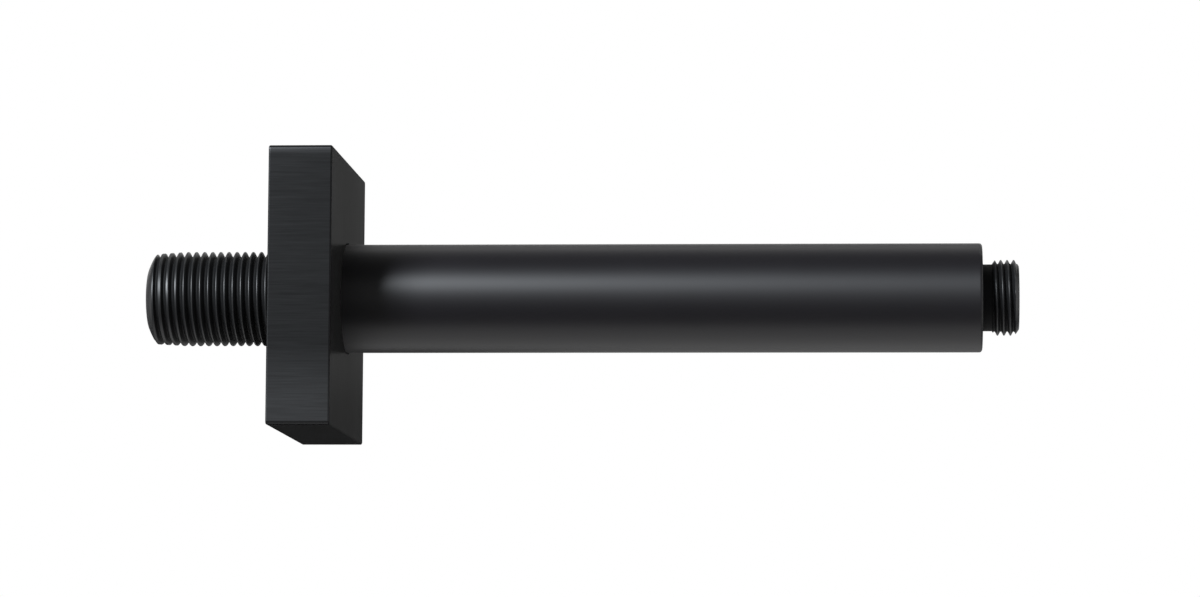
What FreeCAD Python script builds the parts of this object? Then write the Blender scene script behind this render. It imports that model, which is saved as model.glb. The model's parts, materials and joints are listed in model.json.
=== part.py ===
import FreeCAD, Part
import os

# Ceiling shower arm: a straight drop tube with a male inlet thread at its top, a smaller male outlet
# thread at its foot, and a square cover plate that slides and turns on the tube.
# Millimetres. +Z is up, and the origin is on the arm's axis in the ceiling plane, where the plate's back
# face lies.

# Drop tube
TUBE_DIAMETER = 24.0
TUBE_WALL = 1.5
TUBE_DROP = 154.0
TUBE_HEAD_DEPTH = 2.0
TUBE_HEAD_CHAMFER = 0.5
TUBE_FOOT_RADIUS = 0.7

# Inlet nipple, half-inch parallel pipe thread, brazed into the tube's head
INLET_THREAD_DIAMETER = 20.955
INLET_RISE = 30.2
INLET_THREAD_START = 0.5
INLET_NECK_DIAMETER = 18.4
INLET_BORE = 12.0
INLET_SEAT_LENGTH = 12.0
INLET_BEVEL_LENGTH = 1.75
INLET_TIP_DIAMETER = 14.0

# Outlet spigot, three-eighths pipe thread, brazed into the tube's foot
OUTLET_THREAD_DIAMETER = 16.662
OUTLET_LENGTH = 8.0
OUTLET_NECK_DIAMETER = 14.7
OUTLET_NECK_LENGTH = 1.6
OUTLET_BORE = 11.0
OUTLET_SEAT_LENGTH = 10.0
OUTLET_BEVEL_LENGTH = 0.9
OUTLET_TIP_DIAMETER = 14.0

# Both turned ends
BRAZE_GAP = 0.03
MOUTH_CHAMFER = 0.6
SEAT_CHAMFER = 0.8

# Square cover plate, hollow behind, with a boss that carries the seal
PLATE_SIDE = 60.5
PLATE_THICKNESS = 13.8
PLATE_WALL = 2.2
PLATE_FACE_WALL = 2.6
PLATE_CORNER_RADIUS = 0.8
PLATE_EDGE_RADIUS = 0.35
HOLLOW_CORNER_RADIUS = 3.0
HOLLOW_FLOOR_RADIUS = 1.2
BOSS_HEIGHT = 10.0
BOSS_WALL = 2.2
BOSS_ROOT_CHAMFER = 1.0
BOSS_RIM_CHAMFER = 0.6
BORE_CLEARANCE = 0.2
BORE_EDGE_CHAMFER = 0.25

# Square-cut rubber ring between the boss and the tube
SEAL_RADIAL_WIDTH = 2.0
SEAL_HEIGHT = 2.6
SEAL_CORNER_CHAMFER = 0.35
SEAL_CLEARANCE = 0.1
SEAL_GROOVE_HEIGHT = 3.2
SEAL_GROOVE_DEPTH = 6.0

# Radii and heights that follow
TUBE_RADIUS = TUBE_DIAMETER / 2
TUBE_BORE_RADIUS = TUBE_RADIUS - TUBE_WALL
SEAT_RADIUS = TUBE_BORE_RADIUS - BRAZE_GAP
TUBE_HEAD_Z = -TUBE_HEAD_DEPTH
TUBE_FOOT_Z = -TUBE_DROP
PLATE_FACE_Z = -PLATE_THICKNESS
HOLLOW_FLOOR_Z = PLATE_FACE_Z + PLATE_FACE_WALL
BOSS_RIM_Z = PLATE_FACE_Z + BOSS_HEIGHT
PLATE_BORE_RADIUS = TUBE_RADIUS + BORE_CLEARANCE
SEAL_INNER_RADIUS = TUBE_RADIUS + SEAL_CLEARANCE
SEAL_GROOVE_RADIUS = SEAL_INNER_RADIUS + SEAL_RADIAL_WIDTH + SEAL_CLEARANCE
SEAL_Z = PLATE_FACE_Z + SEAL_GROOVE_DEPTH
BOSS_RADIUS = SEAL_GROOVE_RADIUS + BOSS_WALL

ORIGIN = FreeCAD.Vector(0, 0, 0)
UP = FreeCAD.Vector(0, 0, 1)
MATCH = 1e-4


def turned(outline):
    """Solid turned about the arm's axis from a closed outline of (radius, height) corners."""
    corners = [FreeCAD.Vector(radius, 0, height) for radius, height in outline]
    return Part.Face(Part.makePolygon(corners + corners[:1])).revolve(ORIGIN, UP, 360)


def rings(solid, radius, height):
    """Circular edges of a solid that lie at one radius and height about the axis."""
    circles = [edge for edge in solid.Edges if isinstance(edge.Curve, Part.Circle)]
    return [
        edge
        for edge in circles
        if abs(edge.Curve.Radius - radius) < MATCH
        and abs(edge.Curve.Center.z - height) < MATCH
    ]


def edges_at(solid, height):
    """Every edge of a solid that lies flat at one height."""
    return [
        edge
        for edge in solid.Edges
        if abs(edge.BoundBox.ZMin - height) < MATCH
        and abs(edge.BoundBox.ZMax - height) < MATCH
    ]


def upright_edges(solid):
    """The straight edges of a prism that run along the axis."""
    return [edge for edge in solid.Edges if edge.BoundBox.ZLength > MATCH]


def square_prism(side, low, high, corner_radius):
    """Upright square prism centred on the axis, with its four corners rounded."""
    corner = FreeCAD.Vector(-side / 2, -side / 2, low)
    block = Part.makeBox(side, side, high - low, corner)
    return block.makeFillet(corner_radius, upright_edges(block))


def arm_tube():
    """Drop tube, eased at its head and rounded at its visible foot."""
    tube = turned(
        [
            (TUBE_BORE_RADIUS, TUBE_FOOT_Z),
            (TUBE_RADIUS, TUBE_FOOT_Z),
            (TUBE_RADIUS, TUBE_HEAD_Z - TUBE_HEAD_CHAMFER),
            (TUBE_RADIUS - TUBE_HEAD_CHAMFER, TUBE_HEAD_Z),
            (TUBE_BORE_RADIUS, TUBE_HEAD_Z),
        ]
    )
    return tube.makeFillet(TUBE_FOOT_RADIUS, rings(tube, TUBE_RADIUS, TUBE_FOOT_Z))


def inlet_nipple():
    """Inlet nipple: a seat inside the tube, a relief neck, and the thread's blank up to its bevelled end."""
    bore = INLET_BORE / 2
    neck = INLET_NECK_DIAMETER / 2
    thread = INLET_THREAD_DIAMETER / 2
    seat_z = TUBE_HEAD_Z - INLET_SEAT_LENGTH
    return turned(
        [
            (bore, seat_z),
            (SEAT_RADIUS - SEAT_CHAMFER, seat_z),
            (SEAT_RADIUS, seat_z + SEAT_CHAMFER),
            (SEAT_RADIUS, TUBE_HEAD_Z),
            (neck, TUBE_HEAD_Z),
            (neck, -INLET_THREAD_START - (thread - neck)),
            (thread, -INLET_THREAD_START),
            (thread, INLET_RISE - INLET_BEVEL_LENGTH),
            (INLET_TIP_DIAMETER / 2, INLET_RISE),
            (bore + MOUTH_CHAMFER, INLET_RISE),
            (bore, INLET_RISE - MOUTH_CHAMFER),
        ]
    )


def outlet_spigot():
    """Outlet spigot: a seat flush with the tube's foot, a neck, and the thread's blank down to its bevel."""
    bore = OUTLET_BORE / 2
    neck = OUTLET_NECK_DIAMETER / 2
    thread = OUTLET_THREAD_DIAMETER / 2
    seat_z = TUBE_FOOT_Z + OUTLET_SEAT_LENGTH
    thread_z = TUBE_FOOT_Z - OUTLET_NECK_LENGTH
    tip_z = TUBE_FOOT_Z - OUTLET_LENGTH
    return turned(
        [
            (bore, tip_z + MOUTH_CHAMFER),
            (bore + MOUTH_CHAMFER, tip_z),
            (OUTLET_TIP_DIAMETER / 2, tip_z),
            (thread, tip_z + OUTLET_BEVEL_LENGTH),
            (thread, thread_z),
            (neck, thread_z),
            (neck, TUBE_FOOT_Z),
            (SEAT_RADIUS, TUBE_FOOT_Z),
            (SEAT_RADIUS, seat_z - SEAT_CHAMFER),
            (SEAT_RADIUS - SEAT_CHAMFER, seat_z),
            (bore, seat_z),
        ]
    )


def plate_shell():
    """The plate's square shell, open at the back, with eased outer edges and a rounded hollow."""
    block = square_prism(PLATE_SIDE, PLATE_FACE_Z, 0, PLATE_CORNER_RADIUS)
    outer_edges = edges_at(block, PLATE_FACE_Z) + edges_at(block, 0)
    block = block.makeFillet(PLATE_EDGE_RADIUS, outer_edges)
    hollow_side = PLATE_SIDE - 2 * PLATE_WALL
    hollow = square_prism(hollow_side, HOLLOW_FLOOR_Z, PLATE_THICKNESS, HOLLOW_CORNER_RADIUS)
    hollow = hollow.makeFillet(HOLLOW_FLOOR_RADIUS, edges_at(hollow, HOLLOW_FLOOR_Z))
    return block.cut(hollow)


def plate_boss():
    """Round boss behind the plate's face, rooted in the face's thickness, with a chamfered rim."""
    root_z = PLATE_FACE_Z + PLATE_FACE_WALL / 2
    return turned(
        [
            (0, root_z),
            (BOSS_RADIUS, root_z),
            (BOSS_RADIUS, BOSS_RIM_Z - BOSS_RIM_CHAMFER),
            (BOSS_RADIUS - BOSS_RIM_CHAMFER, BOSS_RIM_Z),
            (0, BOSS_RIM_Z),
        ]
    )


def plate_bore():
    """The tube's way through the plate and its boss, with the seal's groove round it."""
    groove_low = SEAL_Z - SEAL_GROOVE_HEIGHT / 2
    groove_high = SEAL_Z + SEAL_GROOVE_HEIGHT / 2
    return turned(
        [
            (0, PLATE_FACE_Z - PLATE_FACE_WALL),
            (PLATE_BORE_RADIUS, PLATE_FACE_Z - PLATE_FACE_WALL),
            (PLATE_BORE_RADIUS, groove_low),
            (SEAL_GROOVE_RADIUS, groove_low),
            (SEAL_GROOVE_RADIUS, groove_high),
            (PLATE_BORE_RADIUS, groove_high),
            (PLATE_BORE_RADIUS, PLATE_THICKNESS),
            (0, PLATE_THICKNESS),
        ]
    )


def escutcheon():
    """Square cover plate in one piece: shell, boss, bore and seal groove."""
    plate = plate_shell().fuse(plate_boss()).removeSplitter()
    plate = plate.makeChamfer(BOSS_ROOT_CHAMFER, rings(plate, BOSS_RADIUS, HOLLOW_FLOOR_Z))
    plate = plate.cut(plate_bore())
    return plate.makeChamfer(BORE_EDGE_CHAMFER, rings(plate, PLATE_BORE_RADIUS, PLATE_FACE_Z))


def seal_ring():
    """Rubber ring of square section with eased corners, in the boss's groove round the tube."""
    inner = SEAL_INNER_RADIUS
    outer = SEAL_INNER_RADIUS + SEAL_RADIAL_WIDTH
    low = SEAL_Z - SEAL_HEIGHT / 2
    high = SEAL_Z + SEAL_HEIGHT / 2
    ease = SEAL_CORNER_CHAMFER
    return turned(
        [
            (inner + ease, low),
            (outer - ease, low),
            (outer, low + ease),
            (outer, high - ease),
            (outer - ease, high),
            (inner + ease, high),
            (inner, high - ease),
            (inner, low + ease),
        ]
    )


PIECES = {
    "arm_tube": arm_tube,
    "inlet_nipple": inlet_nipple,
    "outlet_spigot": outlet_spigot,
    "escutcheon": escutcheon,
    "seal_ring": seal_ring,
}


def main():
    os.makedirs("parts", exist_ok=True)
    for name, make in PIECES.items():
        shape = make()
        if not shape.isValid() or len(shape.Solids) != 1:
            raise RuntimeError(f"{name} is not one valid solid")
        shape = shape.Solids[0]
        shape.exportStep(f"parts/{name}.step")
        print(f"{name}: {shape.Volume:.1f} cubic mm")


main()
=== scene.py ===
"""Looks of a ceiling shower arm: real threads, coatings and a studio round its solids."""

import json
import math

import bmesh
import bpy
import numpy as np
from mathutils import Matrix, Vector


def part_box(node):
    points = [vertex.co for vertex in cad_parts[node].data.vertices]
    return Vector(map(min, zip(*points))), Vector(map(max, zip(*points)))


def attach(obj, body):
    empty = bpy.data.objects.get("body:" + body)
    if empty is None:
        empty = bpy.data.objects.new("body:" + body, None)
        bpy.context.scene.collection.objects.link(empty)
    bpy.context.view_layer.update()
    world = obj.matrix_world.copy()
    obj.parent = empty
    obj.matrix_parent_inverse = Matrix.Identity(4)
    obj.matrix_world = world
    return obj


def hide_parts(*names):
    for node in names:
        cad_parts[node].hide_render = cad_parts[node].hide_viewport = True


bl_info = {
    "name": "Ceiling Shower Arm",
    "version": (1, 0, 0),
    "blender": (4, 5, 0),
    "location": "View3D > Sidebar > Shower Arm",
    "description": "Cuts the pipe threads, coats every piece and sets the studio of a ceiling shower arm",
    "category": "Object",
}

MM = 0.001

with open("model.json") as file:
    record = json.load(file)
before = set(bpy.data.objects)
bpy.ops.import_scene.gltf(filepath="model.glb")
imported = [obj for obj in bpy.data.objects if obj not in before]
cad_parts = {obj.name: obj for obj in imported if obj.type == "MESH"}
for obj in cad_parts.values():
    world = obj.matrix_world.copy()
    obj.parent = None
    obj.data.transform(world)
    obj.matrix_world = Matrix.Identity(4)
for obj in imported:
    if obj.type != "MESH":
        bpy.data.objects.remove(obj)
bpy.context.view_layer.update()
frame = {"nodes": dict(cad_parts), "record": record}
MOUNTS = {mount["name"]: mount for mount in frame["record"]["mounts"]}


def reach(node):
    """Least and greatest distance of a solid's surface from the arm's axis, in metres."""
    mesh = frame["nodes"][node].data
    places = np.empty(len(mesh.vertices) * 3)
    mesh.vertices.foreach_get("co", places)
    distances = np.hypot(places[0::3], places[1::3])
    return float(distances.min()), float(distances.max())


# Places and sizes that the frame gives
TUBE_LOW, TUBE_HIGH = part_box("arm_tube")
NIPPLE_LOW, NIPPLE_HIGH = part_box("inlet_nipple")
SPIGOT_LOW, SPIGOT_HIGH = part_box("outlet_spigot")
PLATE_LOW, PLATE_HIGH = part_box("escutcheon")
ARM_MIDDLE = (TUBE_LOW.z + TUBE_HIGH.z) / 2
INLET_RADIUS = MOUNTS["inlet_thread"]["dims"]["r_mm"] * MM
OUTLET_RADIUS = MOUNTS["outlet_thread"]["dims"]["r_mm"] * MM
INLET_BORE_RADIUS = reach("inlet_nipple")[0]
OUTLET_BORE_RADIUS, SEAT_RADIUS = reach("outlet_spigot")

# The turned ends, as in the solids. The inlet's thread starts just below the ceiling plane
INLET_NECK_RADIUS = 9.2 * MM
INLET_THREAD_START = -0.5 * MM
INLET_TIP_RADIUS = 7.0 * MM
INLET_BEVEL_LENGTH = 1.75 * MM
INLET_BEVEL_START = NIPPLE_HIGH.z - INLET_BEVEL_LENGTH
OUTLET_NECK_RADIUS = 7.35 * MM
OUTLET_TIP_RADIUS = 7.0 * MM
OUTLET_BEVEL_LENGTH = 0.9 * MM
OUTLET_BEVEL_START = SPIGOT_LOW.z + OUTLET_BEVEL_LENGTH
MOUTH_CHAMFER = 0.6 * MM
SEAT_CHAMFER = 0.8 * MM

# The outlet's thread starts below the tube's foot and rises to full height over its run-out
OUTLET_THREAD_OFFSET = 2.1 * MM
OUTLET_RUN_OUT = 0.7 * MM

# Pipe thread: half the angle between its flanks, its tips' radius and its depth, both as shares of its pitch
HALF_TOOTH_ANGLE = math.radians(27.5)
TOOTH_TIP = 0.137327
TOOTH_DEPTH = 0.640327

# The inlet's nose, whose radius falls as the power NOSE_BULGE of the way along it
NOSE_BULGE = 1.4
NOSE_STEPS = 12

# Fineness of the turned surfaces. A rounding takes no more than ROUND_SHARE of a run
SEGMENTS = 192
ROWS_PER_TURN = 20
WELD = 1e-6
SHARP_ANGLE = math.radians(32)
EDGE_ROUND = 0.12 * MM
ROUND_STEPS = 4
ROUND_SHARE = 0.45

# Noises, each as its cells a metre, detail and roughness. The brush marks lie on a place that is stretched
# first, to so many cells a metre along and across them
COAT_SPOTS = (55.0, 3.0, 0.5)
COAT_GRAIN = (5200.0, 2.0, 0.6)
PLATE_SPOTS = (40.0, 2.0, 0.5)
RUBBER_BLOOM = (900.0, 3.0, 0.6)
BRUSH_MARKS = (1.0, 3.0, 0.65)
BRUSH_ALONG = 90.0
BRUSH_ACROSS = 5200.0

# Coat: what its noises do to its roughness and tone, and the turn of its stretched highlights
COAT_SMOOTHING = 0.02
COAT_SPOT_ROUGHNESS = 0.04
COAT_GRAIN_ROUGHNESS = 0.03
COAT_GRAIN_DEPTH = 0.003 * MM
COAT_SPOT_SPREAD = (0.3, 0.7)
COAT_DUST = 1.18
TUBE_STRETCH = 0.4
STRETCH_TURN = 0.25

# Painted shade and dullness in a thread's roots: how far up the tooth they reach, how dull the coat is
# there, how black its painted shade is, and over what height it ends at the nose
ROOT_REACH = 0.85
ROOT_DULLNESS = 0.3
ROOT_PAINTED_SHADE = 0.7
INLET_ROOT_FADE = 0.3 * MM
OUTLET_ROOT_FADE = 0.2 * MM

# Brushed plate: what its noises do to its roughness and tone, how much of a surface's direction lies along
# an axis where it starts to face that way and where it does wholly, and its looks at a low angle
PLATE_SMOOTHING = 0.08
PLATE_SPOT_ROUGHNESS = 0.05
BRUSH_ROUGHNESS = 0.12
BRUSH_DEPTH = 0.004 * MM
BRUSH_SPREAD = (0.3, 0.75)
BRUSH_TONE = 0.16
PLATE_FACING = (0.6, 0.8)
PLATE_EDGE_TINT = 0.12
PLATE_SHEEN = 0.045
PLATE_SHEEN_ROUGHNESS = 0.5

# Bands of painted light on the plate's sides, a wide one towards -X and a narrow one along the edge at +X,
# each from unlit to lit along X, and how light they are
PAINTED_LIGHT_LOW = (PLATE_LOW.x + 17.25 * MM, PLATE_LOW.x + 5.25 * MM)
PAINTED_LIGHT_HIGH = (PLATE_HIGH.x - 1.95 * MM, PLATE_HIGH.x - 0.95 * MM)
PAINTED_LIGHT_TONE = 0.62
# Lightest colour, as times the plate's colour, shared by the brush scratches and the painted light
SCRATCH_AND_LIGHT_COLOUR = 3.0

# Rubber of the seal and its bloom
RUBBER_ROUGHNESS = 0.72
RUBBER_GLOSS = 0.35
BLOOM_ROUGHNESS = 0.12
BLOOM_DEPTH = 0.004 * MM
BLOOM_COLOUR = 1.6

# Floor: its grid, the shares of its radius where it is gone and where it is whole, and its finish
FLOOR_RADIUS = 0.42
FLOOR_RINGS = 24
FLOOR_SPOKES = 96
FLOOR_GONE = 0.98
FLOOR_WHOLE = 0.45
FLOOR_ROUGHNESS = 0.6
FLOOR_GLOSS = 0.2

# Key lamp: where it hangs as seen in the picture, its two sides in metres and its colour
KEY_AZIMUTH = math.radians(-37)
KEY_ELEVATION = math.radians(38)
KEY_DISTANCE = 0.9
KEY_SIZE = (0.28, 0.26)
KEY_TINT = (0.94, 1.0, 1.06)

# Each screen's name, distance, first and last elevation in degrees, ends along the arm and tone
SCREENS = (
    ("front_low_screen", 1.2, (-60, -10), (-3.0, 3.0), 0.17),
    ("front_middle_screen", 1.2, (-10, 40), (-3.0, 3.0), 0.34),
    ("front_high_screen", 1.2, (40, 78), (-3.0, 3.0), 0.12),
    ("top_front_screen", 1.2, (78, 100), (-1.3, 1.3), 0.18),
    ("top_back_screen", 1.2, (100, 122), (-1.3, 1.3), 0.29),
    ("back_high_screen", 0.4, (140, 155), (-0.35, 0.35), 0.21),
    ("back_low_left_screen", 0.4, (184, 228), (-0.35, -0.04), 0.0),
    ("back_low_right_screen", 0.4, (184, 228), (-0.04, 0.35), 0.5),
    ("left_screen", 0.5, (78, 300), (-0.87, -0.42), 0.08),
    ("right_screen", 0.5, (78, 300), (0.42, 0.87), 0.04),
)
SCREEN_STEPS = 24

# Camera's sensor in millimetres, and the nearest and farthest that it sees in metres
SENSOR_WIDTH = 36.0
CLIP_START = 0.01
CLIP_END = 20.0


class ThreadSettings(bpy.types.PropertyGroup):
    """Sizes of the two right-hand pipe threads."""

    inlet_pitch: bpy.props.FloatProperty(
        name="Inlet pitch",
        description="Distance from crest to crest of the inlet thread",
        default=1.814 * MM,
        min=0.5 * MM,
        subtype="DISTANCE",
        unit="LENGTH",
        precision=5,
    )
    inlet_lead: bpy.props.FloatProperty(
        name="Inlet lead-in",
        description="How much lower the first crest at the inlet's open end stands",
        default=0.42 * MM,
        min=0.0,
        subtype="DISTANCE",
        unit="LENGTH",
        precision=5,
    )
    inlet_lead_length: bpy.props.FloatProperty(
        name="Inlet lead-in length",
        description="Length over which the first crests rise to full height",
        default=6.5 * MM,
        min=0.0,
        subtype="DISTANCE",
        unit="LENGTH",
        precision=5,
    )
    outlet_pitch: bpy.props.FloatProperty(
        name="Outlet pitch",
        description="Distance from crest to crest of the outlet thread",
        default=1.411 * MM,
        min=0.5 * MM,
        subtype="DISTANCE",
        unit="LENGTH",
        precision=5,
    )


class CoatSettings(bpy.types.PropertyGroup):
    """Colours and gloss of the coatings."""

    tube_colour: bpy.props.FloatVectorProperty(
        name="Tube colour",
        description="Black of the satin coat on the tube",
        default=(0.0026, 0.0021, 0.0034),
        min=0.0,
        max=1.0,
        subtype="COLOR",
    )
    plate_colour: bpy.props.FloatVectorProperty(
        name="Plate colour",
        description="Black of the brushed metal of the cover plate",
        default=(0.0182, 0.0184, 0.0189),
        min=0.0,
        max=1.0,
        subtype="COLOR",
    )
    thread_colour: bpy.props.FloatVectorProperty(
        name="Thread colour",
        description="Black of the coat on the two threads",
        default=(0.0055, 0.0056, 0.0060),
        min=0.0,
        max=1.0,
        subtype="COLOR",
    )
    seal_colour: bpy.props.FloatVectorProperty(
        name="Seal colour",
        description="Colour of the rubber ring",
        default=(0.012, 0.012, 0.012),
        min=0.0,
        max=1.0,
        subtype="COLOR",
    )
    tube_roughness: bpy.props.FloatProperty(
        name="Tube roughness",
        description="Roughness of the satin coat on the tube",
        default=0.45,
        min=0.0,
        max=1.0,
        subtype="FACTOR",
    )
    plate_roughness: bpy.props.FloatProperty(
        name="Plate roughness",
        description="Roughness of the brushed metal of the cover plate",
        default=0.34,
        min=0.0,
        max=1.0,
        subtype="FACTOR",
    )
    thread_roughness: bpy.props.FloatProperty(
        name="Thread roughness",
        description="Roughness of the coat on the threads",
        default=0.40,
        min=0.0,
        max=1.0,
        subtype="FACTOR",
    )


class StudioSettings(bpy.types.PropertyGroup):
    """Floor, camera and light of the studio."""

    floor_colour: bpy.props.FloatVectorProperty(
        name="Floor colour",
        description="Colour of the plain pale floor",
        default=(0.86, 0.86, 0.86),
        min=0.0,
        max=1.0,
        subtype="COLOR",
    )
    floor_drop: bpy.props.FloatProperty(
        name="Floor below the arm",
        description="Height of the hanging arm's tip above the floor",
        default=0.078,
        min=0.0,
        subtype="DISTANCE",
        unit="LENGTH",
    )
    ambient: bpy.props.FloatProperty(
        name="Ambient light",
        description="Even light from all round on matte surfaces, where 1 shows white as white",
        default=0.3,
        min=0.0,
        max=2.0,
    )
    key: bpy.props.FloatProperty(
        name="Key brightness",
        description="Brightness of the softbox, where 1 is white",
        default=61.0,
        min=0.0,
    )
    screens: bpy.props.FloatProperty(
        name="Screen brightness",
        description="Brightness of the dark screens round the arm, as a share of their own tones",
        default=1.0,
        min=0.0,
        max=3.0,
    )
    lens: bpy.props.FloatProperty(
        name="Focal length",
        description="Focal length of the camera in millimetres",
        default=131.44,
        min=1.0,
        unit="CAMERA",
    )
    distance: bpy.props.FloatProperty(
        name="Camera distance",
        description="Distance of the camera from the arm's axis",
        default=0.966,
        min=0.1,
        subtype="DISTANCE",
        unit="LENGTH",
    )
    height: bpy.props.FloatProperty(
        name="Camera height",
        description="Height of the camera along the arm's axis, from the ceiling plane",
        default=-0.133,
        subtype="DISTANCE",
        unit="LENGTH",
    )
    around: bpy.props.FloatProperty(
        name="Camera round the axis",
        description="Angle by which the camera stands round the arm's axis from a square view of the plate",
        default=math.radians(6.106),
        subtype="ANGLE",
        unit="ROTATION",
    )
    pan: bpy.props.FloatProperty(
        name="Camera pan",
        description="Angle by which the camera turns towards the inlet",
        default=math.radians(3.739),
        subtype="ANGLE",
        unit="ROTATION",
    )
    roll: bpy.props.FloatProperty(
        name="Camera roll",
        description="Turn of the picture about its centre",
        default=math.radians(0.094),
        subtype="ANGLE",
        unit="ROTATION",
    )


def rounded(corners, radius):
    """Open outline of (distance, height) corners with each inner corner replaced by an arc.

    The arc touches both runs at equal distance t from the corner, with t = radius * tan(half the turn), and
    at most ROUND_SHARE of the shorter run. Its points come from a quadratic curve through both touching
    points.
    """
    corners = np.asarray(corners, float)
    before, here, after = corners[:-2], corners[1:-1], corners[2:]
    back, ahead = before - here, after - here
    back_length = np.linalg.norm(back, axis=1)
    ahead_length = np.linalg.norm(ahead, axis=1)
    cosine = (back * ahead).sum(axis=1) / (back_length * ahead_length)
    half_turn = (np.pi - np.arccos(np.clip(cosine, -1.0, 1.0))) / 2
    longest = ROUND_SHARE * np.minimum(back_length, ahead_length)
    touch = np.minimum(radius * np.tan(half_turn), longest)
    start = here + back * (touch / back_length)[:, None]
    end = here + ahead * (touch / ahead_length)[:, None]
    share = np.linspace(0.0, 1.0, ROUND_STEPS + 1)[None, :, None]
    arcs = (1 - share) ** 2 * start[:, None] + 2 * share * (1 - share) * here[:, None]
    arcs = arcs + share**2 * end[:, None]
    return np.vstack([corners[:1], arcs.reshape(-1, 2), corners[-1:]])


def quads(first, second, step):
    """Four-sided faces from two neighbouring columns of points to the row that lies a step further on."""
    return np.stack([first, second, second + step, first + step], axis=-1).reshape(-1, 4)


def turned_grid(outline):
    """Surface of revolution.

    The outline's distance r and height z go to (r cos a, r sin a, z) for each angle a of a full turn.
    """
    distance, height = np.asarray(outline, float).T
    angle = np.arange(SEGMENTS) * 2 * np.pi / SEGMENTS
    x = distance[:, None] * np.cos(angle)
    y = distance[:, None] * np.sin(angle)
    z = np.repeat(height[:, None], SEGMENTS, axis=1)
    row = np.arange(len(distance) - 1)[:, None] * SEGMENTS
    column = np.arange(SEGMENTS)
    following = (column + 1) % SEGMENTS
    faces = quads(row + column, row + following, SEGMENTS)
    return np.stack([x, y, z], axis=-1).reshape(-1, 3), faces


def threaded_grid(low, high, pitch, crest, heights, radii):
    """Right-hand thread between two heights, cut on a blank with the given heights and radii.

    Row j and column i lie at angle a = 2 pi i / columns and height z = pitch * (j / rows a turn + a / 2 pi),
    held between low and high, so that each row runs along the helix. The distance from the axis is the
    lesser of the blank's radius at z and the crest radius less the tooth's drop at z / pitch - a / 2 pi
    turns. The last column meets the first one turn higher.
    """
    first = math.floor((low / pitch - 1) * ROWS_PER_TURN) - 1
    last = math.ceil(high / pitch * ROWS_PER_TURN) + ROWS_PER_TURN + 1
    row = np.arange(first, last + 1)[:, None]
    share = np.arange(SEGMENTS) / SEGMENTS
    z = np.clip(pitch * (row / ROWS_PER_TURN + share), low, high)
    cut = crest - tooth_drop(z / pitch - share, pitch)
    distance = np.minimum(cut, np.interp(z, heights, radii))
    angle = 2 * np.pi * share
    x = distance * np.cos(angle)
    y = distance * np.sin(angle)
    count = last - first
    inner = np.arange(count)[:, None] * SEGMENTS + np.arange(SEGMENTS - 1)
    body = quads(inner, inner + 1, SEGMENTS)
    end = np.arange(count - ROWS_PER_TURN) * SEGMENTS + SEGMENTS - 1
    begin = end - (SEGMENTS - 1) + ROWS_PER_TURN * SEGMENTS
    seam = quads(end, begin, SEGMENTS)
    return np.stack([x, y, z], axis=-1).reshape(-1, 3), np.vstack([body, seam])


def tooth_drop(turn, pitch):
    """How far a pipe thread's surface lies below its crest, at a place in turns, 0 at the crest.

    The tooth is a 55 degree V with both tips rounded to radius r = TOOTH_TIP * pitch, and its depth is
    TOOTH_DEPTH * pitch. The place x runs from 0 at the crest to half a pitch at the root. Up to r cos(27.5
    degrees) from either tip the drop is an arc, r - sqrt(r r - x x) from the crest and its mirror image at
    the root, and in between it is a straight line.
    """
    across = np.abs(turn - np.round(turn)) * pitch
    radius, depth = TOOTH_TIP * pitch, TOOTH_DEPTH * pitch
    reach_out = radius * math.cos(HALF_TOOTH_ANGLE)
    fall = radius * (1 - math.sin(HALF_TOOTH_ANGLE))
    slope = (depth - 2 * fall) / (pitch / 2 - 2 * reach_out)
    near_crest = radius - np.sqrt(np.maximum(radius**2 - np.minimum(across, reach_out) ** 2, 0))
    inner = pitch / 2 - across
    near_root = depth - radius + np.sqrt(np.maximum(radius**2 - np.minimum(inner, reach_out) ** 2, 0))
    flank = fall + slope * (across - reach_out)
    return np.where(across < reach_out, near_crest, np.where(inner < reach_out, near_root, flank))


def plain_grid(tip, tip_radius, bore_radius, seat, shoulder, neck_radius):
    """Unthreaded side of a turned end, as a surface of revolution with rounded edges.

    Its outline goes from the edge of the tip into the bore, through it, round the end of the seat that
    stands in the tube, and along the seat to the shoulder and in to the neck.
    """
    inwards = math.copysign(1.0, seat - tip)
    outline = [
        (tip_radius, tip),
        (bore_radius + MOUTH_CHAMFER, tip),
        (bore_radius, tip + inwards * MOUTH_CHAMFER),
        (bore_radius, seat),
        (SEAT_RADIUS - SEAT_CHAMFER, seat),
        (SEAT_RADIUS, seat - inwards * SEAT_CHAMFER),
        (SEAT_RADIUS, shoulder),
        (neck_radius, shoulder),
    ]
    return turned_grid(rounded(outline, EDGE_ROUND))


def added(name, data):
    """A new object that holds the data, linked to the scene."""
    made = bpy.data.objects.new(name, data)
    bpy.context.scene.collection.objects.link(made)
    return made


def mesh_from(name, places, faces):
    """A new mesh from points and the faces between them."""
    mesh = bpy.data.meshes.new(name)
    mesh.from_pydata(places, [], faces)
    return mesh


def piece_from(name, grids):
    """One closed, smooth-shaded piece from grids whose rims meet point for point."""
    offset = 0
    all_places, all_faces = [], []
    for places, faces in grids:
        all_places.append(places)
        all_faces.append(faces + offset)
        offset += len(places)
    mesh = mesh_from(name, np.vstack(all_places), np.vstack(all_faces).tolist())
    shell = bmesh.new()
    shell.from_mesh(mesh)
    bmesh.ops.remove_doubles(shell, verts=shell.verts, dist=WELD)
    loose = [edge for edge in shell.edges if not edge.is_manifold]
    if loose:
        raise RuntimeError(f"{name} has {len(loose)} open edges")
    bmesh.ops.recalc_face_normals(shell, faces=shell.faces)
    shell.to_mesh(mesh)
    shell.free()
    mesh.shade_smooth()
    mesh.set_sharp_from_angle(angle=SHARP_ANGLE)
    return added(name, mesh)


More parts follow.
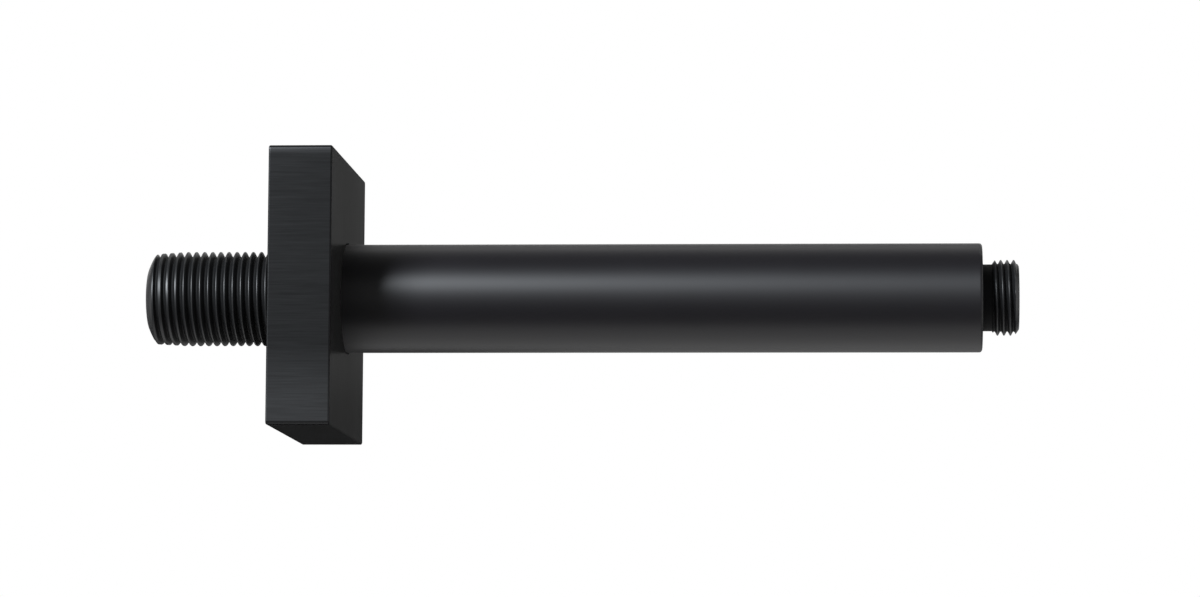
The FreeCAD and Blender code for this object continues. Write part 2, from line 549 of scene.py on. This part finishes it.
class Value:
    """One shader value. Arithmetic on it adds Math nodes, and either operand may be a number."""

    def __init__(self, finish, socket):
        self.finish = finish
        self.socket = socket

    def reckon(self, operation, *operands):
        """Result of a Math node on values and numbers."""
        return self.finish.node("ShaderNodeMath", {"operation": operation}, dict(enumerate(operands)))

    def __add__(self, other):
        return self.reckon("ADD", self, other)

    __radd__ = __add__

    def __sub__(self, other):
        return self.reckon("SUBTRACT", self, other)

    def __rsub__(self, other):
        return self.reckon("SUBTRACT", other, self)

    def __mul__(self, other):
        return self.reckon("MULTIPLY", self, other)

    __rmul__ = __mul__

    def __pow__(self, other):
        return self.reckon("POWER", self, other)

    def __abs__(self):
        return self.reckon("ABSOLUTE", self)


class Finish:
    """A material or world under construction, and the nodes that make it."""

    def __init__(self, owner):
        owner.use_nodes = True
        self.owner = owner
        self.tree = owner.node_tree
        self.tree.nodes.clear()

    def node(self, kind, settings=None, inputs=None, output=0):
        """Adds a node of one type: its settings first, then the values or links of its sockets."""
        made = self.tree.nodes.new(kind)
        for name, value in (settings or {}).items():
            setattr(made, name, value)
        for name, value in (inputs or {}).items():
            if isinstance(value, Value):
                self.tree.links.new(value.socket, made.inputs[name])
            else:
                made.inputs[name].default_value = value
        return Value(self, made.outputs[output])

    def place(self):
        """Position on the piece, in metres."""
        return self.node("ShaderNodeTexCoord", output="Object")

    def axes(self, vector):
        """A vector's x, y and z."""
        return [self.node("ShaderNodeSeparateXYZ", inputs={0: vector}, output=axis) for axis in range(3)]

    def facing(self):
        """Direction of the surface in the piece's own frame, as x, y and z."""
        return self.axes(self.node("ShaderNodeTexCoord", output="Normal"))

    def off_axis(self, place):
        """Distance of a position from the arm's axis, the square root of x x + y y."""
        x, y, _ = self.axes(place)
        return (x * x + y * y) ** 0.5

    def stretched(self, scales):
        """Position on the piece, stretched by three factors."""
        return self.node("ShaderNodeVectorMath", {"operation": "MULTIPLY"}, {0: self.place(), 1: scales})

    def noise(self, vector, scale, detail, roughness):
        """Soft noise from 0 to 1."""
        return self.node(
            "ShaderNodeTexNoise",
            {"noise_dimensions": "3D"},
            {"Vector": vector, "Scale": scale, "Detail": detail, "Roughness": roughness},
        )

    def rise(self, value, start, end):
        """Mask that goes from 0 at the value's start to 1 at its end, and is held beyond both."""
        return self.node(
            "ShaderNodeMapRange",
            {"clamp": True},
            {"Value": value, "From Min": start, "From Max": end, "To Min": 0.0, "To Max": 1.0},
        )

    def mixed(self, factor, first, second):
        """Colour between two colours. The numbers are the sockets that a Mix node has for colours."""
        return self.node(
            "ShaderNodeMix",
            {"data_type": "RGBA", "clamp_factor": True},
            {0: factor, 6: first, 7: second},
            output=2,
        )

    def relief(self, height, depth):
        """Normal of a surface raised by height times depth in metres."""
        return self.node("ShaderNodeBump", inputs={"Height": height, "Distance": depth, "Strength": 1.0})

    def surface(self, shader):
        """Gives the material or world its shader."""
        world = isinstance(self.owner, bpy.types.World)
        kind = "ShaderNodeOutputWorld" if world else "ShaderNodeOutputMaterial"
        end = self.tree.nodes.new(kind)
        self.tree.links.new(shader.socket, end.inputs["Surface"])
        return self.owner


def opaque(colour):
    """A colour with full alpha."""
    return (*colour, 1.0)


def lighter(colour, times):
    """A colour so many times as light, with full alpha."""
    return opaque([channel * times for channel in colour])


def new_finish(name):
    """The finish of a new material."""
    return Finish(bpy.data.materials.new(name))


def root_shade_mask(finish, place, root, crest, nose):
    """Mask of a thread's roots, which carries their painted shade and dullness: 1 at the root radius and 0
    from
    ROOT_REACH of the tooth's height upwards.

    The nose is a pair of heights. The mask is 0 from the first to the thread's tip, and whole beyond the
    second.
    """
    root_shade = finish.rise(finish.off_axis(place), root + ROOT_REACH * (crest - root), root)
    return root_shade * finish.rise(finish.axes(place)[2], *nose)


def coated(name, colour, roughness, stretch=0.0, thread=None):
    """Black coat on metal: fine grain in the coat, slow unevenness in its gloss, and a trace of grey dust.

    The stretch lengthens its highlights along the arm, as the fine marks of lathe polishing do. A thread is
    given by its root radius, its crest radius and its nose. The coat is duller in its roots, where polishing
    doesn't reach, and blacker there as painted shade.
    """
    finish = new_finish(name)
    place = finish.place()
    slow = finish.noise(place, *COAT_SPOTS)
    grain = finish.noise(place, *COAT_GRAIN)
    tone = finish.rise(slow, *COAT_SPOT_SPREAD)
    rough = roughness - COAT_SMOOTHING + COAT_SPOT_ROUGHNESS * slow + COAT_GRAIN_ROUGHNESS * grain
    metallic = 0.0
    if thread:
        # Painted shade in the thread's roots: the dust is taken out and the coat turned partly metallic,
        # which with its near-black colour makes the roots blacker
        root_shade = root_shade_mask(finish, place, *thread)
        tone = tone * (1 - root_shade)
        rough = rough + ROOT_DULLNESS * root_shade
        metallic = ROOT_PAINTED_SHADE * root_shade
    shader = finish.node(
        "ShaderNodeBsdfPrincipled",
        inputs={
            "Base Color": finish.mixed(tone, opaque(colour), lighter(colour, COAT_DUST)),
            "Roughness": rough,
            "Metallic": metallic,
            "Anisotropic": stretch,
            "Anisotropic Rotation": STRETCH_TURN,
            "Normal": finish.relief(grain, COAT_GRAIN_DEPTH),
        },
    )
    return finish.surface(shader)


def brushed(name, colour, roughness):
    """Brushed blackened metal, with long fine scratches and bands of painted light.

    The scratches follow the arm on the plate's sides, and one side of the plate on its faces. The edge tint
    keeps its reflections dark where it is seen at a low angle. The bands of painted light are on the two
    sides that face along Y.
    """
    finish = new_finish(name)
    place = finish.place()
    along_arm = finish.noise(finish.stretched((BRUSH_ACROSS, BRUSH_ACROSS, BRUSH_ALONG)), *BRUSH_MARKS)
    along_side = finish.noise(finish.stretched((BRUSH_ALONG, BRUSH_ACROSS, BRUSH_ALONG)), *BRUSH_MARKS)
    _, sideways, upward = [abs(axis) for axis in finish.facing()]
    side, flat = [finish.rise(axis, *PLATE_FACING) for axis in (sideways, upward)]
    scratches = along_arm + flat * (along_side - along_arm)
    slow = finish.noise(place, *PLATE_SPOTS)
    # Painted light on the sides facing Y: a wide lighter band towards -X and a narrow one along the +X edge,
    # mixed into the tone with the brush scratches
    x = finish.axes(place)[0]
    painted_light = finish.rise(x, *PAINTED_LIGHT_LOW) + finish.rise(x, *PAINTED_LIGHT_HIGH)
    tone = BRUSH_TONE * finish.rise(scratches, *BRUSH_SPREAD) + PAINTED_LIGHT_TONE * painted_light * side
    rough = roughness - PLATE_SMOOTHING + BRUSH_ROUGHNESS * scratches + PLATE_SPOT_ROUGHNESS * slow
    shader = finish.node(
        "ShaderNodeBsdfPrincipled",
        inputs={
            "Base Color": finish.mixed(tone, opaque(colour), lighter(colour, SCRATCH_AND_LIGHT_COLOUR)),
            "Metallic": 1.0,
            "Roughness": rough,
            "Specular Tint": (PLATE_EDGE_TINT, PLATE_EDGE_TINT, PLATE_EDGE_TINT, 1.0),
            "Sheen Weight": PLATE_SHEEN,
            "Sheen Roughness": PLATE_SHEEN_ROUGHNESS,
            "Normal": finish.relief(scratches, BRUSH_DEPTH),
        },
    )
    return finish.surface(shader)


def rubber(name, colour):
    """Matte moulded rubber with a fine bloom."""
    finish = new_finish(name)
    bloom = finish.noise(finish.place(), *RUBBER_BLOOM)
    shader = finish.node(
        "ShaderNodeBsdfPrincipled",
        inputs={
            "Base Color": finish.mixed(bloom, opaque(colour), lighter(colour, BLOOM_COLOUR)),
            "Roughness": RUBBER_ROUGHNESS + BLOOM_ROUGHNESS * bloom,
            "Specular IOR Level": RUBBER_GLOSS,
            "Normal": finish.relief(bloom, BLOOM_DEPTH),
        },
    )
    return finish.surface(shader)


def fading(name, colour):
    """Pale matte floor that shows only from above, and fades out towards its rim."""
    finish = new_finish(name)
    distance = finish.off_axis(finish.place())
    front = 1 - finish.node("ShaderNodeNewGeometry", output="Backfacing")
    shown = front * finish.rise(distance, FLOOR_GONE * FLOOR_RADIUS, FLOOR_WHOLE * FLOOR_RADIUS)
    clear = finish.node("ShaderNodeBsdfTransparent")
    pale = finish.node(
        "ShaderNodeBsdfPrincipled",
        inputs={
            "Base Color": opaque(colour),
            "Roughness": FLOOR_ROUGHNESS,
            "Specular IOR Level": FLOOR_GLOSS,
        },
    )
    return finish.surface(finish.node("ShaderNodeMixShader", inputs={0: shown, 1: clear, 2: pale}))


def toned(name, tone):
    """Even grey of one tone, which needs no light."""
    finish = new_finish(name)
    return finish.surface(finish.node("ShaderNodeEmission", inputs={"Color": opaque((tone, tone, tone))}))


def dress(piece, material):
    """Gives a piece or a solid one material all over."""
    piece.data.materials.clear()
    piece.data.materials.append(material)


class ARM_OT_inlet(bpy.types.Operator):
    """Turn the inlet nipple with its rounded nose and cut its right-hand pipe thread"""

    bl_idname = "shower_arm.inlet"
    bl_label = "Inlet Thread"

    def execute(self, context):
        thread = context.scene.arm_thread
        tip, shoulder, seat = NIPPLE_HIGH.z, TUBE_HIGH.z, NIPPLE_LOW.z
        crest, neck = INLET_RADIUS, INLET_NECK_RADIUS
        start = INLET_THREAD_START
        along = np.linspace(0.0, 1.0, NOSE_STEPS)
        first = crest - thread.inlet_lead
        nose = first + (INLET_TIP_RADIUS - first) * along**NOSE_BULGE
        heights = [shoulder, start - (crest - neck), start, INLET_BEVEL_START - thread.inlet_lead_length]
        heights = np.hstack([heights, INLET_BEVEL_START + INLET_BEVEL_LENGTH * along])
        radii = np.hstack([neck, neck, crest, crest, nose])
        helix = threaded_grid(shoulder, tip, thread.inlet_pitch, crest, heights, radii)
        plain = plain_grid(tip, INLET_TIP_RADIUS, INLET_BORE_RADIUS, seat, shoulder, neck)
        piece = piece_from("inlet_nipple_threaded", [helix, plain])
        dress(piece, bpy.data.materials["inlet_coat"])
        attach(piece, "arm")
        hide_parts("inlet_nipple")
        return {"FINISHED"}


class ARM_OT_outlet(bpy.types.Operator):
    """Turn the outlet spigot and cut its right-hand pipe thread"""

    bl_idname = "shower_arm.outlet"
    bl_label = "Outlet Thread"

    def execute(self, context):
        thread = context.scene.arm_thread
        tip, foot, seat = SPIGOT_LOW.z, TUBE_LOW.z, SPIGOT_HIGH.z
        crest, neck = OUTLET_RADIUS, OUTLET_NECK_RADIUS
        start = foot - OUTLET_THREAD_OFFSET
        heights = [tip, OUTLET_BEVEL_START, start - OUTLET_RUN_OUT, start, foot]
        radii = [OUTLET_TIP_RADIUS, crest, crest, neck, neck]
        helix = threaded_grid(tip, foot, thread.outlet_pitch, crest, heights, radii)
        plain = plain_grid(tip, OUTLET_TIP_RADIUS, OUTLET_BORE_RADIUS, seat, foot, neck)
        piece = piece_from("outlet_spigot_threaded", [helix, plain])
        dress(piece, bpy.data.materials["outlet_coat"])
        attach(piece, "arm")
        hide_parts("outlet_spigot")
        return {"FINISHED"}


class ARM_OT_coats(bpy.types.Operator):
    """Mix the coatings and give the tube, the cover plate and the seal theirs"""

    bl_idname = "shower_arm.coats"
    bl_label = "Coatings"

    def execute(self, context):
        coat = context.scene.arm_coat
        nodes = frame["nodes"]
        colour, roughness = coat.thread_colour, coat.thread_roughness
        inlet_nose = (INLET_BEVEL_START, INLET_BEVEL_START - INLET_ROOT_FADE)
        outlet_nose = (OUTLET_BEVEL_START, OUTLET_BEVEL_START + OUTLET_ROOT_FADE)
        coated("inlet_coat", colour, roughness, thread=(INLET_NECK_RADIUS, INLET_RADIUS, inlet_nose))
        coated("outlet_coat", colour, roughness, thread=(OUTLET_NECK_RADIUS, OUTLET_RADIUS, outlet_nose))
        dress(nodes["arm_tube"], coated("tube_coat", coat.tube_colour, coat.tube_roughness, TUBE_STRETCH))
        dress(nodes["escutcheon"], brushed("plate_coat", coat.plate_colour, coat.plate_roughness))
        dress(nodes["seal_ring"], rubber("seal_coat", coat.seal_colour))
        return {"FINISHED"}


def picture_axes(studio):
    """Camera's place and its right, up and forward directions, worked out from its angles round the arm."""
    sine, cosine = math.sin(studio.around), math.cos(studio.around)
    place = Vector((-studio.distance * sine, -studio.distance * cosine, studio.height))
    level = math.cos(studio.pan)
    forward = Vector((sine * level, cosine * level, math.sin(studio.pan)))
    right = forward.cross(Vector((cosine, -sine, 0.0))).normalized()
    up = right.cross(forward)
    turn = Matrix.Rotation(studio.roll, 3, forward)
    return place, turn @ right, turn @ up, forward


def stand(studio, azimuth, elevation, distance):
    """Place and turn of a flat thing that faces the middle of the arm.

    Its direction is given in the picture: azimuth is the angle between it and a cut across the arm, to the
    right, and elevation is its turn round the arm from the camera's side towards the picture's top. Its x
    side runs along the arm, its y side round it, and its z side away from the arm.
    """
    _, right, up, forward = picture_axes(studio)
    across = up * math.sin(elevation) - forward * math.cos(elevation)
    away = (across * math.cos(azimuth) + right * math.sin(azimuth)).normalized()
    side = (right - away * right.dot(away)).normalized()
    turned = Matrix((side, away.cross(side), away)).transposed().to_4x4()
    middle = Vector((0.0, 0.0, ARM_MIDDLE))
    return Matrix.Translation(middle + away * distance) @ turned


def softbox(name, place, size, brightness, tint):
    """Rectangular lamp that shines on the arm from its place. A brightness of 1 is white."""
    lamp = bpy.data.lights.new(name, "AREA")
    lamp.shape = "RECTANGLE"
    lamp.size, lamp.size_y = size
    lamp.energy = brightness * math.pi * size[0] * size[1]
    lamp.color = tint
    holder = added(name, lamp)
    holder.matrix_world = place
    holder.visible_camera = False


def dark_screen(name, studio, distance, elevations, ends, tone):
    """Curved screen of one dark tone that shows only in reflections and throws no shadow.

    It is part of a round drum about the arm: the point for elevation e and length l lies at the middle of
    the arm plus distance times (up sin e - forward cos e), plus l along the picture's right. The elevations
    are its two edges in degrees, and the ends are its two lengths.
    """
    _, right, up, forward = [np.array(axis) for axis in picture_axes(studio)]
    middle = np.array([0.0, 0.0, ARM_MIDDLE])
    low, high = [math.radians(elevation) for elevation in elevations]
    turn = np.linspace(low, high, SCREEN_STEPS + 1)[:, None, None]
    length = np.array(ends)[None, :, None]
    places = middle + distance * (up * np.sin(turn) - forward * np.cos(turn)) + right * length
    edge = np.arange(SCREEN_STEPS) * 2
    mesh = mesh_from(name, places.reshape(-1, 3), quads(edge, edge + 1, 2).tolist())
    screen = added(name, mesh)
    dress(screen, toned(name, tone))
    screen.visible_camera = False
    screen.visible_diffuse = False
    screen.visible_transmission = False
    screen.visible_volume_scatter = False
    screen.visible_shadow = False


class ARM_OT_studio(bpy.types.Operator):
    """Lay the floor, hang the lamp and the screens and place the camera"""

    bl_idname = "shower_arm.studio"
    bl_label = "Studio"

    def execute(self, context):
        studio = context.scene.arm_studio
        self.lay_floor(studio)
        self.light_world(context, studio)
        self.hang_lamp(studio)
        self.hang_screens(studio)
        self.place_camera(context, studio)
        context.scene.view_settings.view_transform = "Standard"
        return {"FINISHED"}

    def lay_floor(self, studio):
        """Round pale floor below the hanging arm, which fades into the white round it.

        Ring by ring and spoke by spoke, its points lie at (r cos a, r sin a, level), and one face fills the
        first ring.
        """
        radius = np.linspace(0.0, FLOOR_RADIUS, FLOOR_RINGS + 1)[1:, None]
        angle = np.arange(FLOOR_SPOKES) * 2 * np.pi / FLOOR_SPOKES
        x, y = radius * np.cos(angle), radius * np.sin(angle)
        level = np.full_like(x, SPIGOT_LOW.z - studio.floor_drop)
        places = np.stack([x, y, level], axis=-1).reshape(-1, 3)
        row = np.arange(FLOOR_RINGS - 1)[:, None] * FLOOR_SPOKES
        column = np.arange(FLOOR_SPOKES)
        following = (column + 1) % FLOOR_SPOKES
        rings = quads(row + following, row + column, FLOOR_SPOKES).tolist()
        floor = added("floor", mesh_from("floor", places, rings + [column.tolist()]))
        dress(floor, fading("pale_floor", studio.floor_colour))
        floor.visible_glossy = False

    def light_world(self, context, studio):
        """White to the camera and in reflections, and a plain even light on everything else."""
        world = bpy.data.worlds.new("studio_white")
        context.scene.world = world
        finish = Finish(world)
        kinds = ("Is Camera Ray", "Is Glossy Ray", "Is Transmission Ray")
        camera, glossy, transmission = [finish.node("ShaderNodeLightPath", output=kind) for kind in kinds]
        seen = finish.rise(camera + glossy + transmission, 0.0, 1.0)
        strength = studio.ambient + (1 - studio.ambient) * seen
        white = opaque((1.0, 1.0, 1.0))
        finish.surface(finish.node("ShaderNodeBackground", inputs={"Color": white, "Strength": strength}))

    def hang_lamp(self, studio):
        """One cool key softbox, to the left of the camera and above it."""
        place = stand(studio, KEY_AZIMUTH, KEY_ELEVATION, KEY_DISTANCE)
        softbox("key_softbox", place, KEY_SIZE, studio.key, KEY_TINT)

    def hang_screens(self, studio):
        """Dark screens in front of the arm, above it, behind it and past its ends, as flags in a studio."""
        for name, distance, elevations, ends, tone in SCREENS:
            dark_screen(name, studio, distance, elevations, ends, tone * studio.screens)

    def place_camera(self, context, studio):
        """Camera at the photograph's viewing angle."""
        place, right, up, forward = picture_axes(studio)
        lens = bpy.data.cameras.new("photo_camera")
        lens.lens = studio.lens
        lens.sensor_width = SENSOR_WIDTH
        lens.clip_start = CLIP_START
        lens.clip_end = CLIP_END
        camera = added("photo_camera", lens)
        turned = Matrix((right, up, -forward)).transposed().to_4x4()
        camera.matrix_world = Matrix.Translation(place) @ turned
        context.scene.camera = camera


class ARM_PT_panel(bpy.types.Panel):
    """Sidebar panel with every step and its settings"""

    bl_idname = "ARM_PT_panel"
    bl_label = "Shower Arm"
    bl_space_type = "VIEW_3D"
    bl_region_type = "UI"
    bl_category = "Shower Arm"

    def draw(self, context):
        for step in STEPS:
            self.layout.operator(step.bl_idname)
        for name, kind in GROUPS.items():
            box = self.layout.box()
            for setting in kind.__annotations__:
                box.prop(getattr(context.scene, name), setting)


STEPS = (ARM_OT_coats, ARM_OT_inlet, ARM_OT_outlet, ARM_OT_studio)
GROUPS = {"arm_thread": ThreadSettings, "arm_coat": CoatSettings, "arm_studio": StudioSettings}


def register():
    """Adds the settings, the steps and the panel to Blender."""
    for name, group in GROUPS.items():
        bpy.utils.register_class(group)
        setattr(bpy.types.Scene, name, bpy.props.PointerProperty(type=group))
    for step in STEPS:
        bpy.utils.register_class(step)
    bpy.utils.register_class(ARM_PT_panel)


def unregister():
    """Takes the panel, the steps and the settings out again."""
    bpy.utils.unregister_class(ARM_PT_panel)
    for step in reversed(STEPS):
        bpy.utils.unregister_class(step)
    for name, group in reversed(GROUPS.items()):
        delattr(bpy.types.Scene, name)
        bpy.utils.unregister_class(group)


def main():
    register()
    bpy.ops.shower_arm.coats()
    bpy.ops.shower_arm.inlet()
    bpy.ops.shower_arm.outlet()
    bpy.ops.shower_arm.studio()


if __name__ == "__main__":
    main()
